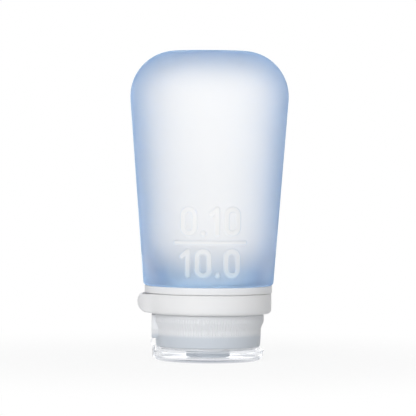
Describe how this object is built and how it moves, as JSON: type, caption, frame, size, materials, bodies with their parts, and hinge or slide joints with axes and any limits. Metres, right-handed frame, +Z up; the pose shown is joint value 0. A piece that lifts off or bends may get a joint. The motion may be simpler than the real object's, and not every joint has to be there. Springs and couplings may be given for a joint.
{
  "type": "travel silicone bottle",
  "caption": "Tapered frosted silicone squeeze bottle that stands on a ribbed screw cap with a clear flip lid, with a swivelling hang loop ring at its neck.",
  "frame": {"origin": "centre of the lid's flat foot, on the surface that the bottle stands on", "axes": "+Z up along the bottle's axis towards its closed base; the lid's hinge and the hang loop lie on -X at rest"},
  "size_m": [0.0514, 0.0514, 0.1005],
  "materials": {
    "blue_silicone": "frosted translucent silicone",
    "white_plastic": "satin moulded plastic",
    "hazy_plastic": "hazy translucent moulded plastic",
    "clear_plastic": "clear glossy moulded plastic",
    "pale_silicone": "soft matte silicone"
  },
  "bodies": {
    "bottle": {"silicone_body": "blue_silicone", "neck_insert": "white_plastic", "collar": "white_plastic"},
    "loop": {"loop_ring": "white_plastic"},
    "washer": {"cap_gasket": "pale_silicone"},
    "cap": {"screw_cap": "hazy_plastic", "slit_valve": "pale_silicone", "valve_retainer": "white_plastic", "living_hinge": "clear_plastic"},
    "lid": {"flip_lid": "clear_plastic"}
  },
  "joints": [
    {"name": "loop_swivel", "type": "hinge", "parent": "bottle", "child": "loop", "pos_m": [0, 0, 0.0187], "axis": [0, 0, 1], "continuous": true},
    {"name": "cap_lift", "type": "slide", "parent": "bottle", "child": "washer", "axis": [0, 0, -1], "range_m": [0, 0.006]},
    {"name": "cap_unscrew", "type": "hinge", "parent": "washer", "child": "cap", "pos_m": [0, 0, 0.0095], "axis": [0, 0, -1], "range_deg": [0, 540]},
    {"name": "lid_flip", "type": "hinge", "parent": "cap", "child": "lid", "pos_m": [-0.01815, 0, 0.0062], "axis": [0, 1, 0], "range_deg": [0, 150], "deforming": ["living_hinge"]}
  ],
  "couplings": [
    {"joint": "cap_lift", "follows": "cap_unscrew", "m_per_rad": 0.00063662}
  ]
}
